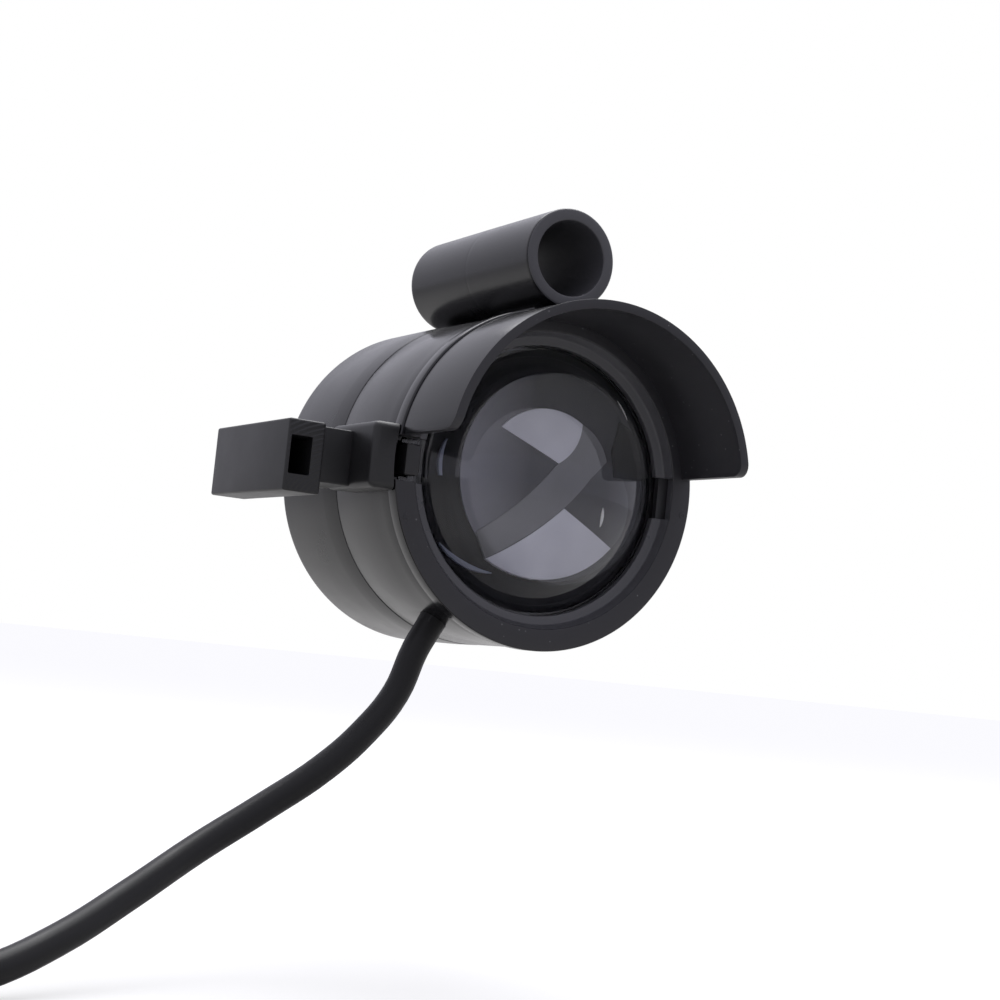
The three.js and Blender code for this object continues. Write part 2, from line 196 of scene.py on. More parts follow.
def blend_colours(nodes, links, factor, dark, light):
    """A colour that goes from dark to light as factor goes from 0 to 1."""
    node = nodes.new("ShaderNodeMix")
    node.data_type = "RGBA"
    node.inputs[6].default_value = (*dark, 1)
    node.inputs[7].default_value = (*light, 1)
    links.new(factor, node.inputs[0])
    return node.outputs[2]


def bump_chain(nodes, links, shader, layers):
    """Adds bumps one on another: layers are (height socket, depth in metres)."""
    normal = None
    for height, depth in layers:
        node = nodes.new("ShaderNodeBump")
        node.inputs["Strength"].default_value = 1
        node.inputs["Distance"].default_value = depth
        links.new(height, node.inputs["Height"])
        if normal is not None:
            links.new(normal, node.inputs["Normal"])
        normal = node.outputs["Normal"]
    links.new(normal, shader.inputs["Normal"])


def specks(nodes, links, scale, size):
    """1 inside sparse dust specks, 0 elsewhere."""
    where = nodes.new("ShaderNodeTexCoord")
    cells = add_node(nodes, "ShaderNodeTexVoronoi", Scale=scale)
    links.new(where.outputs["Object"], cells.inputs["Vector"])
    return remap(nodes, links, cells.outputs["Distance"], size, size * 0.6, 0, 1)


# ---- materials ----
def moulded_plastic(name, dark, light, rough, grain=4200, depth=6e-6, dust=0.0, ior=1.5):
    """Black moulded plastic: fine grain, soft flow marks, roughness that wanders a little."""
    material, nodes, links, shader = new_material(name)
    fine = noise(nodes, links, grain, 3)
    flow = noise(nodes, links, 45, 4, 0.6)
    tint = blend_colours(nodes, links, flow, dark, light)
    roughness = remap(nodes, links, flow, 0.3, 0.7, rough - 0.05, rough + 0.06)
    if dust > 0:
        spots = specks(nodes, links, 420, 0.09)
        cover = remap(nodes, links, spots, 0, 1, 0, dust)
        pale = nodes.new("ShaderNodeMix")
        pale.data_type = "RGBA"
        pale.inputs[7].default_value = (0.35, 0.35, 0.36, 1)
        links.new(cover, pale.inputs[0])
        links.new(tint, pale.inputs[6])
        tint = pale.outputs[2]
    links.new(tint, shader.inputs["Base Color"])
    links.new(roughness, shader.inputs["Roughness"])
    bump_chain(nodes, links, shader, [(fine, depth), (flow, 8e-6)])
    shader.inputs["IOR"].default_value = ior
    return material


def clear_lens():
    """Clear acrylic whose tint wanders a little."""
    material, nodes, links, shader = new_material("lens_clear")
    shader.inputs["Transmission Weight"].default_value = 1
    shader.inputs["IOR"].default_value = 1.49
    haze = noise(nodes, links, 80, 2)
    links.new(blend_colours(nodes, links, haze, (0.95, 0.96, 0.98), (0.99, 0.99, 1)),
              shader.inputs["Base Color"])
    shader.inputs["Roughness"].default_value = 0
    return material


def rubber(name, dark, light, rough=0.5, ior=1.45):
    """A soft matt skin whose tone and roughness drift in patches."""
    material, nodes, links, shader = new_material(name)
    fine = noise(nodes, links, 2600, 3)
    patches = noise(nodes, links, 70, 3)
    links.new(blend_colours(nodes, links, patches, dark, light), shader.inputs["Base Color"])
    links.new(remap(nodes, links, patches, 0.3, 0.7, rough - 0.06, rough + 0.06),
              shader.inputs["Roughness"])
    bump_chain(nodes, links, shader, [(fine, 1e-5), (patches, 2e-5)])
    shader.inputs["IOR"].default_value = ior
    return material


def shaded(name, dark, light, start=None, end=None):
    """A satin film for painted light and shade: its tone wanders, or grows from dark at x = start
    to light at x = end (m).
    """
    material, nodes, links, shader = new_material(name)
    if start is None:
        share = remap(nodes, links, noise(nodes, links, 60, 2), 0.35, 0.65, 0, 1)
    else:
        where = nodes.new("ShaderNodeTexCoord")
        split = nodes.new("ShaderNodeSeparateXYZ")
        links.new(where.outputs["Object"], split.inputs[0])
        share = remap(nodes, links, split.outputs["X"], start, end, 0, 1)
    links.new(blend_colours(nodes, links, share, dark, light), shader.inputs["Base Color"])
    shader.inputs["Roughness"].default_value = 0.6
    shader.inputs["Specular IOR Level"].default_value = 0.2
    return material


def tool_marked_plastic():
    """The bracket's end face: fine arcs left by the cutter that made the mould."""
    material, nodes, links, shader = new_material("tool_marked_plastic")
    where = nodes.new("ShaderNodeTexCoord")
    centre = add_node(nodes, "ShaderNodeVectorMath", operation="SUBTRACT")
    centre.inputs[1].default_value = place(-44, 6, -16)
    links.new(where.outputs["Object"], centre.inputs[0])
    arcs = add_node(nodes, "ShaderNodeTexWave", wave_type="RINGS", rings_direction="Y", Scale=330)
    links.new(centre.outputs[0], arcs.inputs["Vector"])
    flow = noise(nodes, links, 300, 3)
    links.new(blend_colours(nodes, links, flow, (0.006, 0.006, 0.007), (0.01, 0.01, 0.012)),
              shader.inputs["Base Color"])
    links.new(remap(nodes, links, flow, 0.3, 0.7, 0.36, 0.46), shader.inputs["Roughness"])
    bump_chain(nodes, links, shader, [(arcs.outputs["Fac"], 7e-5), (flow, 1e-5)])
    return material


def metal(name, dark, light, rough, brush=900):
    """Bare metal with fine scratches."""
    material, nodes, links, shader = new_material(name)
    scratch = noise(nodes, links, brush, 4)
    links.new(blend_colours(nodes, links, scratch, dark, light), shader.inputs["Base Color"])
    links.new(remap(nodes, links, scratch, 0.3, 0.7, rough * 0.8, rough * 1.25),
              shader.inputs["Roughness"])
    bump_chain(nodes, links, shader, [(scratch, 5e-6)])
    shader.inputs["Metallic"].default_value = 1
    return material


HOUSING = moulded_plastic("housing_plastic", (0.0045, 0.0045, 0.0055), (0.0075, 0.0075, 0.0085),
                          0.2)
REAR = moulded_plastic("rear_plastic", (0.004, 0.004, 0.005), (0.007, 0.007, 0.008), 0.22, ior=1.42)
BRACKET = moulded_plastic("bracket_plastic", (0.008, 0.008, 0.009), (0.013, 0.013, 0.0145), 0.42)
BEZEL_FACE = moulded_plastic("bezel_plastic", (0.016, 0.0155, 0.019), (0.022, 0.0215, 0.026), 0.42,
                             grain=5200, depth=1.4e-5, dust=0.25)
# A lighter copy of the bezel plastic for its lip: painted sheen where the sloping lip catches the
# light.
LIP_PAINTED_SHEEN = moulded_plastic("lip_plastic_painted_sheen", (0.055, 0.055, 0.062), (0.075, 0.075, 0.083), 0.3)
TUBE = moulded_plastic("tube_plastic", (0.005, 0.005, 0.006), (0.008, 0.008, 0.009), 0.22)
# A lighter copy of the tube plastic for the tube's bore and end faces: painted light.
BORE_PAINTED_LIGHT = moulded_plastic("bore_plastic_painted_light", (0.056, 0.056, 0.063), (0.076, 0.076, 0.084), 0.42)
TOOL_MARKED = tool_marked_plastic()
LATCH = moulded_plastic("latch_plastic", (0.012, 0.012, 0.014), (0.02, 0.02, 0.022), 0.38)
LENS = clear_lens()
CABLE = rubber("cable_rubber", (0.005, 0.005, 0.0055), (0.009, 0.009, 0.01), 0.42, 1.36)
PLUG_RUBBER = rubber("plug_rubber", (0.008, 0.008, 0.009), (0.014, 0.014, 0.015), 0.5)
# Painted light and shade behind the lens: painted shade on the disc and the dark patch, painted
# reflections on the field, wedges, bar and side, and painted highlights on the slivers.
APERTURE_PAINTED_SHADE = shaded("aperture_painted_shade", (0.006, 0.006, 0.009), (0.012, 0.012, 0.016))
APERTURE_PAINTED_FIELD = shaded("aperture_painted_field", (0.045, 0.045, 0.055), (0.27, 0.27, 0.32),
                        -0.002, -0.0165)
APERTURE_PAINTED_REFLECTION = shaded("aperture_painted_reflection", (0.6, 0.6, 0.68), (0.84, 0.84, 0.92))
APERTURE_PAINTED_GREY_REFLECTION = shaded("aperture_painted_grey_reflection", (0.16, 0.16, 0.175), (0.22, 0.22, 0.24))
APERTURE_PAINTED_DIM_REFLECTION = shaded("aperture_painted_dim_reflection", (0.055, 0.055, 0.065), (0.15, 0.15, 0.175), 0.014, 0.024)
APERTURE_PAINTED_HIGHLIGHT = shaded("aperture_painted_highlight", (0.85, 0.85, 0.83), (0.93, 0.93, 0.92))
APERTURE_PAINTED_SOFT_HIGHLIGHT = shaded("aperture_painted_soft_highlight", (0.24, 0.26, 0.34), (0.42, 0.45, 0.56))
SILICONE = rubber("seal_silicone", (0.035, 0.035, 0.039), (0.05, 0.05, 0.055), 0.6)
ALUMINIUM = metal("plate_aluminium", (0.42, 0.43, 0.44), (0.6, 0.61, 0.62), 0.36)
MIRROR = metal("reflector_mirror", (0.72, 0.73, 0.75), (0.82, 0.83, 0.85), 0.12, 300)
STEEL = metal("screw_steel", (0.4, 0.4, 0.41), (0.56, 0.56, 0.57), 0.3)
BRASS = metal("contact_brass", (0.62, 0.42, 0.14), (0.78, 0.56, 0.22), 0.26)
BOARD_WHITE = rubber("board_white", (0.6, 0.6, 0.58), (0.75, 0.75, 0.73), 0.45)
BOARD_GREEN = rubber("board_green", (0.01, 0.07, 0.025), (0.02, 0.11, 0.04), 0.4)
PHOSPHOR = rubber("emitter_yellow", (0.62, 0.45, 0.05), (0.78, 0.6, 0.09), 0.5)
WIRE_RED = rubber("wire_red", (0.3, 0.01, 0.01), (0.42, 0.02, 0.02), 0.45)
WIRE_BLUE = rubber("wire_blue", (0.01, 0.03, 0.25), (0.02, 0.05, 0.35), 0.45)
WIRE_BROWN = rubber("wire_brown", (0.07, 0.025, 0.008), (0.12, 0.045, 0.015), 0.45)


# ---- mesh builders: outlines in mm in the lamp's axes ----
def rounded(corners, steps=4):
    """A closed outline with its corners rounded: corners are (u, v, radius)."""
    out = []
    count = len(corners)
    for k in range(count):
        u, v, radius = corners[k]
        here = Vector((u, v))
        before = Vector(corners[k - 1][:2]) - here
        after = Vector(corners[(k + 1) % count][:2]) - here
        if radius <= 0:
            out.append((u, v))
            continue
        half = before.angle(after) / 2
        reach = radius / math.tan(half)
        before.normalize()
        after.normalize()
        start = here + before * reach
        end = here + after * reach
        centre = here + (before + after).normalized() * radius / math.sin(half)
        first = start - centre
        sweep = first.angle_signed(end - centre)
        for s in range(steps + 1):
            turned = first.copy()
            turned.rotate(Matrix.Rotation(-sweep * s / steps, 2))
            out.append(tuple(centre + turned))
    return out


def new_object(name, mesh):
    """Puts a mesh in the scene as an object."""
    piece = bpy.data.objects.new(name, mesh)
    bpy.context.scene.collection.objects.link(piece)
    return piece


def from_bmesh(name, bm):
    """Turns a bmesh into an object, with doubled points merged and normals outward."""
    bmesh.ops.remove_doubles(bm, verts=bm.verts, dist=1e-7)
    bmesh.ops.recalc_face_normals(bm, faces=bm.faces)
    mesh = bpy.data.meshes.new(name)
    bm.to_mesh(mesh)
    bm.free()
    return new_object(name, mesh)


def lathe(name, outline, axis=(0, 0, 0), segments=144, ripple=None):
    """Turns an outline of (radius, y) about a line along y through axis; ripple moves a radius."""
    bm = bmesh.new()
    rings = []
    for s in range(segments):
        a = 2 * math.pi * s / segments
        ring = []
        for r, y in outline:
            reach = max(r + (ripple(a, r, y) if ripple else 0), 0)
            x, z = axis[0] + reach * math.cos(a), axis[2] + reach * math.sin(a)
            ring.append(bm.verts.new(place(x, axis[1] + y, z)))
        rings.append(ring)
    closed = min(r for r, _ in outline) > 0
    count = len(outline)
    for s in range(segments):
        one, two = rings[s], rings[(s + 1) % segments]
        for k in range(count if closed else count - 1):
            m = (k + 1) % count
            bm.faces.new((one[k], one[m], two[m], two[k]))
    return from_bmesh(name, bm)


def aim(piece, start, direction):
    """Moves a piece that was turned about y at the lamp's origin onto a line."""
    turn = Vector((0, 1, 0)).rotation_difference(Vector(direction)).to_matrix().to_4x4()
    piece.data.transform(
        Matrix.Translation(place(*start)) @ turn @ Matrix.Translation(-LAMP)
    )
    return piece


def slab(name, outline, low, high, upright=False):
    """A prism on an outline of (x, z) from y = low to high, or of (y, z) from x = low to high."""
    bm = bmesh.new()
    ends = []
    for level in (low, high):
        points = [(level, u, v) if upright else (u, level, v) for u, v in outline]
        ends.append([bm.verts.new(place(*p)) for p in points])
    count = len(outline)
    for k in range(count):
        m = (k + 1) % count
        bm.faces.new((ends[0][k], ends[0][m], ends[1][m], ends[1][k]))
    bm.faces.new(ends[0])
    bm.faces.new(ends[1])
    return from_bmesh(name, bm)


def block(name, x, y, z, edge=0.0, steps=3):
    """A box over the ranges x, y and z, with its edges rounded."""
    bm = bmesh.new()
    corner = [[[bm.verts.new(place(i, j, k)) for k in z] for j in y] for i in x]
    round_a_side = ((0, 0), (0, 1), (1, 1), (1, 0))
    for side in range(2):
        bm.faces.new([corner[side][j][k] for j, k in round_a_side])
        bm.faces.new([corner[i][side][k] for i, k in round_a_side])
        bm.faces.new([corner[i][j][side] for i, j in round_a_side])
    if edge > 0:
        bmesh.ops.recalc_face_normals(bm, faces=bm.faces)
        bmesh.ops.bevel(bm, geom=bm.edges[:], offset=edge * MM, segments=steps, profile=0.5,
                        affect="EDGES", clamp_overlap=True)
    return from_bmesh(name, bm)


def cylinder(name, radius, low, high, axis=(0, 0, 0), segments=FINE):
    """A plain solid cylinder along y."""
    return lathe(name, [(0, low), (radius, low), (radius, high), (0, high)], axis, segments)


def settle(piece):
    """Applies a piece's modifiers."""
    graph = bpy.context.evaluated_depsgraph_get()
    graph.update()
    mesh = bpy.data.meshes.new_from_object(
        piece.evaluated_get(graph), preserve_all_data_layers=True, depsgraph=graph
    )
    piece.modifiers.clear()
    piece.data = mesh
    return piece


def combine(piece, other, how):
    """Joins another solid to a piece, or cuts it away, and removes the other."""
    modifier = piece.modifiers.new("combine", "BOOLEAN")
    modifier.operation = how
    modifier.object = other
    modifier.solver = "EXACT"
    settle(piece)
    bpy.data.objects.remove(other)
    return piece


def soften(piece, width, angle=35, segments=2):
    """Rounds the sharp edges of a piece by a small radius."""
    modifier = piece.modifiers.new("soften", "BEVEL")
    modifier.width = width * MM
    modifier.segments = segments
    modifier.limit_method = "ANGLE"
    modifier.angle_limit = math.radians(angle)
    modifier.use_clamp_overlap = True
    modifier.harden_normals = False
    return settle(piece)


def smooth(piece, angle=32):
    """Smooth shading, with the edges sharper than the angle kept crisp."""
    for polygon in piece.data.polygons:
        polygon.use_smooth = True
    piece.data.set_sharp_from_angle(angle=math.radians(angle))
    return piece


def complete(piece, material, body, nodes=()):
    """Gives a piece its material, its body and the CAD nodes it stands for."""
    piece.data.materials.clear()
    piece.data.materials.append(material)
    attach(piece, body)
    if nodes:
        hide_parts(*nodes)
    return piece


def refinish(piece, material, chosen):
    """Gives another finish to the faces that chosen(centre in lamp mm, normal) picks out."""
    finish = len(piece.data.materials)
    piece.data.materials.append(material)
    for polygon in piece.data.polygons:
        if chosen((polygon.center - LAMP) / MM, polygon.normal):
            polygon.material_index = finish


# ---- cord: from the gland to the floor, the coil and the plug ----
def exit_point(distance):
    """A point on the cable hole's line, at a distance from the lamp's axis."""
    return (-distance * math.sin(EXIT_ANGLE), EXIT_Y, -distance * math.cos(EXIT_ANGLE))


RUN = [
    exit_point(34), exit_point(37.5), exit_point(43), (-23.4, EXIT_Y, -47.6), (-29.6, EXIT_Y, -56),
    (-38, EXIT_Y, -64), (-50, EXIT_Y, -72.5), (-64, 11.7, -80.8), (-80, 3.4, -89.2),
    (-96, -6.7, -96.2), (-111, -14.9, -100.8), (-120, -18, -102.3), (-128.8, -19, -102.5),
    (-140, COIL_Y - COIL_OUTER, FLOOR + CABLE_RADIUS),
]
TURN_POINTS = 20                 # points in each turn of the coil
STEP_START = 0.75                # share of a turn after which the lead steps to its next place
LAST_TURN = 0.25


def coil_cells():
    """(radius, height) of each turn: the lowest row inwards, then the other rows outwards."""
    radii = [COIL_OUTER - PITCH * k for k in range(COIL_COLUMNS)]
    heights = [FLOOR + CABLE_RADIUS + PITCH * row for row in range(COIL_ROWS)]
    cells = [(radius, heights[0]) for radius in radii]
    rising = True
    for radius in reversed(radii):
        rows = heights[1:] if rising else heights[:0:-1]
        cells += [(radius, height) for height in rows]
        rising = not rising
    return cells


def winding():
    """Points along the coil, which steps to its next place in the last part of each turn."""
    cells = coil_cells()
    points = []
    last = (len(cells) - 1 + LAST_TURN) * TURN_POINTS
    for k in range(round(last) + 1):
        turn, share = divmod(k / TURN_POINTS, 1)
        radius, height = cells[int(turn)]
        if share > STEP_START:
            part = (share - STEP_START) / (1 - STEP_START)
            ease = part * part * (3 - 2 * part)
            next_radius, next_height = cells[int(turn) + 1]
            radius += (next_radius - radius) * ease
            height += (next_height - height) * ease
        a = -math.pi / 2 - 2 * math.pi * share
        points.append((COIL_X + radius * math.cos(a), COIL_Y + radius * math.sin(a), height))
    return points


def cable_curve():
    """The whole lead: out of the lamp, down to the floor, round the coil and into the plug."""
    curve = bpy.data.curves.new("cable", "CURVE")
    curve.dimensions = "3D"
    curve.bevel_depth = CABLE_RADIUS * MM
    curve.bevel_resolution = 5
    curve.resolution_u = 5
    curve.use_fill_caps = True
    tail = [(PLUG_X, COIL_Y + along, PLUG_Z) for along in (10, 20, 31)]
    points = RUN + winding() + tail
    spline = curve.splines.new("BEZIER")
    spline.bezier_points.add(len(points) - 1)
    for bezier, point in zip(spline.bezier_points, points):
        bezier.co = place(*point)
        bezier.handle_left_type = "AUTO"
        bezier.handle_right_type = "AUTO"
    cable = bpy.data.objects.new("cable_lead", curve)
    bpy.context.scene.collection.objects.link(cable)
    return complete(cable, CABLE, "lamp", ("cable", "cable_coil", "cable_end"))


cable_lead = cable_curve()


# ---- coil ties ----
def coil_tie(number, angle):
    """A soft strap round the bundle, with a small head where it is done up."""
    low = FLOOR + 0.6
    high = FLOOR + PITCH * COIL_ROWS + 1.4
    near, far = COIL_INNER - CABLE_RADIUS - 1.2, COIL_OUTER + CABLE_RADIUS + 1.2
    width, thick = 2, 1
    inner = rounded([(near, low, 3), (far, low, 3), (far, high, 3), (near, high, 3)], 6)
    outer = rounded([
        (near - thick, low - 0.4, 4), (far + thick, low - 0.4, 4),
        (far + thick, high + thick, 4), (near - thick, high + thick, 4),
    ], 6)
    strap = slab(f"coil_strap_{number}", outer, -width, width)
    hole = slab("hole", inner, -width - 1, width + 1)
    combine(strap, hole, "DIFFERENCE")
    head_width = (-width - 0.7, width + 0.7)
    head = block("head", (far - 9, far - 3), head_width, (high - 0.2, high + 2.4), 0.6)
    combine(strap, head, "UNION")
    soften(strap, 0.25)
    turn = Matrix.Rotation(angle, 4, "Z")
    strap.data.transform(
        Matrix.Translation(place(COIL_X, COIL_Y, 0)) @ turn @ Matrix.Translation(-LAMP)
    )
    smooth(strap)
    return complete(strap, PLUG_RUBBER, "lamp", (f"coil_tie_{number}",))


ties = [coil_tie(1, math.pi / 4), coil_tie(2, 5 * math.pi / 4)]


# ---- plug ----
def plug_boot():
    """The tapered, ribbed strain relief."""
    outline = [(0, 0), (CABLE_RADIUS + 0.2, 0)]
    ribs, rib_pitch = 5, 3.4
    thin, growth = 3.9, 2.1
    for k in range(ribs):
        y = 1 + rib_pitch * k
        r = thin + growth * (k + 0.5) / ribs
        outline += [(r - 0.3, y), (r, y + 0.4), (r + 0.1, y + 1.9), (r - 0.1, y + 2.3)]
        outline += [(r - 0.8, y + 2.5), (r - 0.8, y + 3.2)]
    outline += [(6.2, 18.4), (6.2, 20), (0, 20)]
    piece = lathe("plug_strain_relief", outline, (PLUG_X, PLUG_Y, PLUG_Z), 48)
    return complete(smooth(piece, 40), PLUG_RUBBER, "lamp", ("plug_boot",))


def plug_body():
    """The plug's shell, with a fluted rear ring."""
    outline = rounded([
        (0, 0, 0), (7.5, 0, 0.8), (7.5, 8, 0.4), (6.6, 8, 0.2), (6.6, 24, 0.3), (5.4, 24, 0.3),
        (5.4, 26, 0.4), (0, 26, 0),
    ], 3)

    def ripple(a, r, y):
        return -0.35 * max(0, math.cos(12 * a)) if r > 7.2 and 0.9 < y < 7.4 else 0

    piece = lathe("plug_shell", outline, (PLUG_X, SHELL_START, PLUG_Z), 96, ripple)
    return complete(smooth(piece), HOUSING, "lamp", ("plug_body",))


def plug_collar():
    """The ring that turns on the plug, with grip ribs round it."""
    outline = rounded([
        (6.9, 8.4, 0.2), (9, 8.4, 0.8), (9, 22, 0.8), (8.6, 22.4, 0.2), (8.6, 32, 0.4),
        (7.4, 32, 0.3), (7.4, 20, 0.2), (6.9, 20, 0.2),
    ], 3)

    def ripple(a, r, y):
        return -0.55 * (0.5 + 0.5 * math.cos(20 * a)) ** 2 if r > 8.7 and 9.2 < y < 21.2 else 0

    piece = lathe("plug_grip_ring", outline, (PLUG_X, SHELL_START, PLUG_Z), 160, ripple)
    return complete(smooth(piece), HOUSING, "collar", ("plug_collar",))


def plug_pin(number, x):
    """A contact pin with a rounded tip."""
    outline = [(0, 0), (0.8, 0), (0.8, 3.9), (0.62, 4.3), (0.3, 4.48), (0, 4.5)]
    piece = lathe(f"plug_contact_{number}", outline, (PLUG_X + x, PLUG_Y + 46.6, PLUG_Z), 24)
    return complete(smooth(piece), BRASS, "lamp", (f"plug_pin_{number}",))


plug = [plug_boot(), plug_body(), plug_collar(), plug_pin(1, -2), plug_pin(2, 2)]


# ---- housing ----
def front_barrel():
    """The barrel, with its lens seat, the spigot for the rear cup, latch slots and cable hole."""
    seat, spigot, spigot_bore, spigot_end = LENS_RADIUS + 0.4, 33.2, 30.9, 36
    front, seam = 3.9, SEAM + 0.27
    outline = rounded([
        (NECK_RADIUS, front, 0.12), (NECK_RADIUS, 8.5, 2), (BARREL_RADIUS, 12.5, 2.5),
        (BARREL_RADIUS + 0.2, seam, 0.05), (spigot, seam, 0), (spigot, spigot_end, 0.3),
        (spigot_bore, spigot_end, 0.3), (spigot_bore, 27, 0), (BARREL_BORE, 25.3, 0),
        (BARREL_BORE, 9.8, 0), (SHELF_RADIUS, 9.8, 0), (SHELF_RADIUS, LENS_REST, 0.2),
        (seat, LENS_REST, 0), (seat, front, 0.2),
    ], 3)
    piece = lathe("barrel_shell", outline, segments=FINE)
    slot, slot_inner, slot_outer = LATCH_HALF + 0.6, 31, 34.6
    for side in (-1, 1):
        edges = sorted((side * slot_outer, side * slot_inner))
        combine(piece, block("cutter", edges, (3, 17), (-slot, slot)), "DIFFERENCE")
    hole = cylinder("hole", HOLE_RADIUS, 30, 40, segments=48)
    aim(hole, (0, EXIT_Y, 0), cable_direction())
    combine(piece, hole, "DIFFERENCE")
    smooth(piece)
    return complete(piece, HOUSING, "lamp", ("front_barrel",))


def cable_direction():
    """The way that the cable leaves, down to the left."""
    return Vector((-math.sin(EXIT_ANGLE), 0, -math.cos(EXIT_ANGLE)))


def rear_housing():
    """The closed rear cup, with a shallow ring in its back."""
    inside, wall, front = 33.5, 2.6, SEAM + 0.3
    groove = HOUSING_BACK - 0.5
    outline = rounded([
        (0, HOUSING_BACK - wall, 0), (inside, HOUSING_BACK - wall, 1.2), (inside, front, 0),
        (CUP_RADIUS - 0.15, front, 0.06), (CUP_RADIUS, SEAM + 7, 2), (CUP_RADIUS, HOUSING_BACK, 3),
        (27, HOUSING_BACK, 0.2), (26.6, groove, 0.2), (25, groove, 0.2),
        (24.6, HOUSING_BACK, 0.2), (0, HOUSING_BACK, 0),
    ], 5)
    piece = lathe("rear_cup", outline, segments=FINE)
    smooth(piece)
    return complete(piece, REAR, "lamp", ("rear_housing",))


front_barrel()
rear_housing()


def riser_tube():
    """The tube on top, with a faint moulding line half-way, and the saddle that joins it on."""
    middle = TUBE_LENGTH / 2
    outline = rounded([
        (TUBE_BORE, 0, 0.35), (TUBE_END_RADIUS, 0, 0.55), (TUBE_END_RADIUS, 1, 0),
        (TUBE_MID_RADIUS, middle - 0.7, 0), (TUBE_MID_RADIUS, middle - 0.2, 0),
        (TUBE_MID_RADIUS - 0.03, middle, 0), (TUBE_MID_RADIUS, middle + 0.2, 0),
        (TUBE_MID_RADIUS, middle + 0.7, 0), (TUBE_END_RADIUS, TUBE_LENGTH - 1.5, 0),
        (TUBE_END_RADIUS, TUBE_LENGTH, 0.9), (TUBE_BORE, TUBE_LENGTH, 0.35),
    ], 4)
    piece = lathe("riser_pipe_clip", outline, (0, 0, TUBE_HEIGHT), 144)
    saddle = block("saddle", (-3.2, 3.2), (8, 27), (34, 39.2), 0.4)
    combine(saddle, cylinder("cutter", BARREL_FIT, -1, 40), "DIFFERENCE")
    combine(piece, saddle, "UNION")
    smooth(piece)
    complete(piece, TUBE, "lamp", ("riser_tube",))
    axis = Vector((0, 0, TUBE_HEIGHT))

    def inside_or_end(centre, normal):
        off_axis = Vector((centre.x, 0, centre.z)) - axis
        end = abs(normal.y) > 0.8
        return centre.z > TUBE_HEIGHT - 12 and (off_axis.length < TUBE_BORE + 0.3 or end)

    # The bore and the end faces take the lighter plastic, painted light.
    refinish(piece, BORE_PAINTED_LIGHT, inside_or_end)


def side_bracket():
    """The moulding at the left: inner block, web, and outer block with its socket."""
    piece = block("side_bracket_block", (-41.2, -33), (0, 22), (-6.8, 6.8), 1.4, 5)
    web = block("web", (-50, -40), (10.7, 26), (-6.4, 5), SMALL_EDGE)
    outer = block("outer", (-57.2, -49.2), (6, 46), (-9.4, 5.2), 0.5, 4)
    socket = block("socket", (-56.5, -51.9), (4, 36), (-5.9, 1.9), SMALL_EDGE)
    combine(piece, web, "UNION")
    combine(piece, outer, "UNION")
    combine(piece, socket, "DIFFERENCE")
    combine(piece, cylinder("cutter", BARREL_FIT, 3.7, 40), "DIFFERENCE")
    combine(piece, cylinder("cutter", BEZEL_RADIUS + 0.3, -1, 3.9), "DIFFERENCE")
    smooth(piece)
    complete(piece, BRACKET, "lamp", ("side_bracket",))

    def outer_front(centre, normal):
        return centre.x < -49 and centre.y < 8 and normal.y < -0.9

    refinish(piece, TOOL_MARKED, outer_front)


riser_tube()
side_bracket()


# ---- bezel and hood ----
def hood_shell():
    """The hood as a grid of columns from its right lower edge over the top to the left one."""
    inside = HOOD_RADIUS - HOOD_WALL
    steps, span = 8, 100
    corner = []
    for k in range(steps + 1):
        a = math.pi / 2 * k / steps
        height = HOOD_LOW_EDGE + HOOD_CORNER * (1 - math.cos(a))
        setback = HOOD_CORNER * (1 - math.sin(a))
        corner.append((math.asin(height / HOOD_RADIUS), math.asin(height / inside), setback))
    first_out, first_in, _ = corner[-1]
    columns = list(corner)
    for k in range(1, span):
        share = k / span
        columns.append((
            first_out + (math.pi - 2 * first_out) * share,
            first_in + (math.pi - 2 * first_in) * share, 0,
        ))
    for out_angle, in_angle, setback in reversed(corner):
        columns.append((math.pi - out_angle, math.pi - in_angle, setback))
    bm = bmesh.new()
    grid = []
    for out_angle, in_angle, setback in columns:
        front = -HOOD_LENGTH + setback
        ring = []
        for radius, angle, y in (
            (HOOD_RADIUS, out_angle, 1), (HOOD_RADIUS, out_angle, front),
            (inside, in_angle, front), (inside, in_angle, 1),
        ):
            ring.append(bm.verts.new(place(radius * math.cos(angle), y, radius * math.sin(angle))))
        grid.append(ring)
    for one, two in zip(grid, grid[1:]):
        for k in range(4):
            m = (k + 1) % 4
            bm.faces.new((one[k], one[m], two[m], two[k]))
    bm.faces.new(grid[0])
    bm.faces.new(grid[-1])
    piece = from_bmesh("hood", bm)
    return soften(piece, 0.3, 40, 3)


def ejector_mark(x, z):
    """A small round pip in a dimple."""
    outline = [(0, 0.1), (0.3, 0.06), (0.5, -0.1), (0.75, -0.06), (0.9, 1), (0, 1)]
    return lathe("pip", outline, (x, 0, z), 32)


